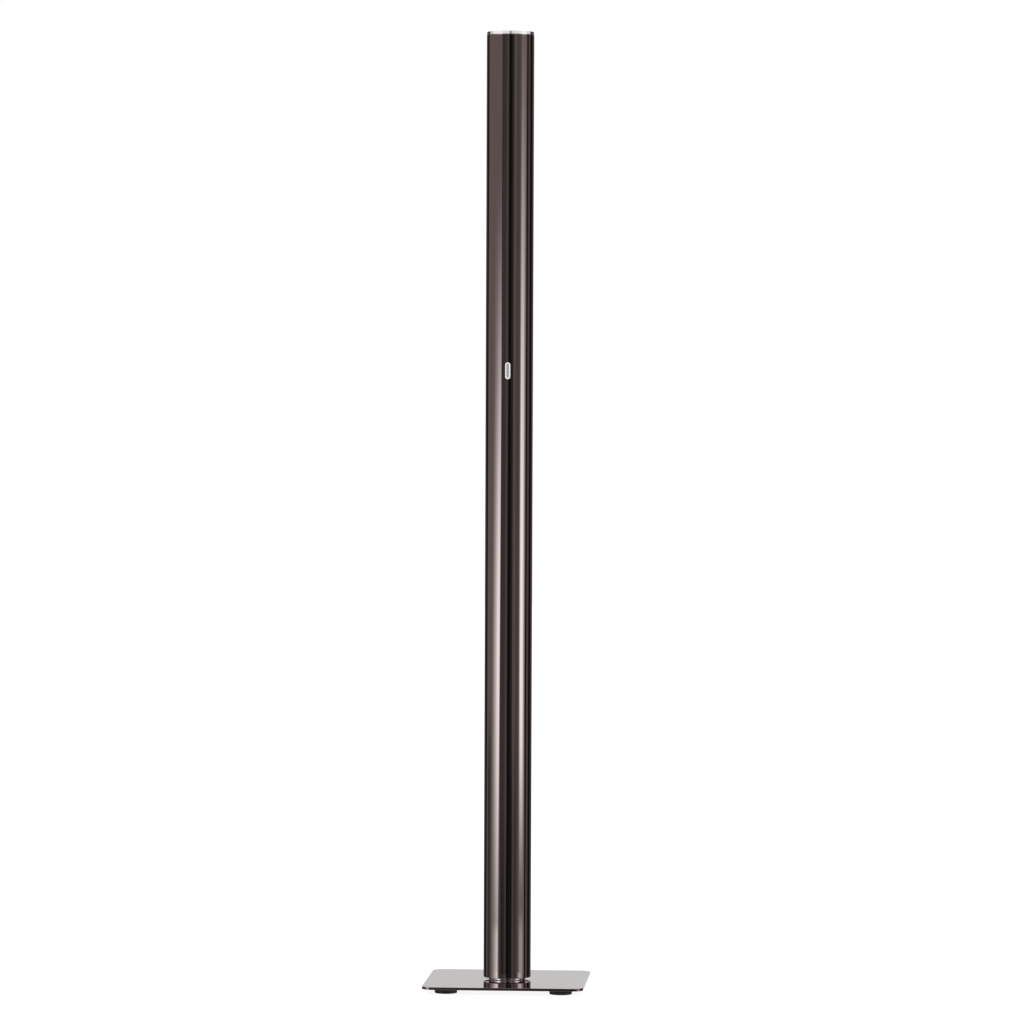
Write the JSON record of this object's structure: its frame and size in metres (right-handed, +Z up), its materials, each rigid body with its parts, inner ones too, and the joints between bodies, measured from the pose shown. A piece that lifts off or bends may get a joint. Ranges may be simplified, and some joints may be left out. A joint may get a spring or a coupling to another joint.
{
  "type": "floor uplighter lamp",
  "caption": "Slim floor uplighter: round black-chrome column on a square plate with disc feet, a push key at chest height and an upward lamp head in a bright ring.",
  "frame": {"origin": "on the floor under the middle of the base plate", "axes": "+Z up along the column; the key faces -Y, the cord gland faces +Y"},
  "size_m": [0.293, 0.293, 1.75],
  "materials": {
    "black_chrome_plate": "mirror-polished black chrome on steel",
    "black_chrome_tube": "mirror-polished black chrome on an aluminium extrusion",
    "bright_chrome": "polished",
    "satin_chrome": "satin pearl plating",
    "rubber_black": "matt moulded",
    "steel_screws": "zinc plated",
    "black_nylon": "fine moulded texture",
    "zinc_sheet": "zinc plated sheet",
    "white_plastic": "moulded",
    "grey_plastic": "moulded",
    "key_grey": "satin grey",
    "board_green": "solder mask",
    "clear_lens": "clear",
    "raw_aluminium": "machined",
    "phosphor": "phosphor gel",
    "mirror_reflector": "anodised mirror",
    "clear_glass": "polished toughened glass"
  },
  "bodies": {
    "lamp": {"base_plate": "black_chrome_plate", "foot_pad_front_left": "rubber_black", "foot_pad_front_right": "rubber_black", "foot_pad_rear_left": "rubber_black", "foot_pad_rear_right": "rubber_black", "foot_screws": "steel_screws", "base_screws": "steel_screws", "neck_hub": "bright_chrome", "hub_screws": "steel_screws", "column_tube": "black_chrome_tube", "cord_gland": "black_nylon", "gland_nut": "black_nylon", "electronics_tray": "zinc_sheet", "tray_screws": "steel_screws", "led_driver": "white_plastic", "driver_screws": "steel_screws", "terminal_block": "grey_plastic", "terminal_screws": "steel_screws", "earth_screw": "steel_screws", "input_lead": "white_plastic", "led_lead": "white_plastic", "control_lead": "grey_plastic", "lead_clips": "black_nylon", "control_bezel": "satin_chrome", "switch_body": "black_nylon", "control_board": "board_green", "board_connector": "white_plastic", "indicator_leds": "clear_lens", "board_standoffs": "zinc_sheet", "board_screws": "steel_screws", "control_carrier": "zinc_sheet", "heat_sink": "raw_aluminium", "head_screws": "steel_screws", "led_board": "raw_aluminium", "led_emitter": "phosphor", "led_holder": "white_plastic", "holder_screws": "steel_screws", "reflector": "mirror_reflector", "glass_gasket": "rubber_black", "glass_disc": "clear_glass", "top_ring": "bright_chrome"},
    "key": {"control_key": "key_grey", "switch_plunger": "black_nylon"}
  },
  "joints": [
    {"name": "key_press", "type": "slide", "parent": "lamp", "child": "key", "axis": [0, 1, 0], "range_m": [0, 0.0008], "stiffness_N_per_m": 500}
  ]
}
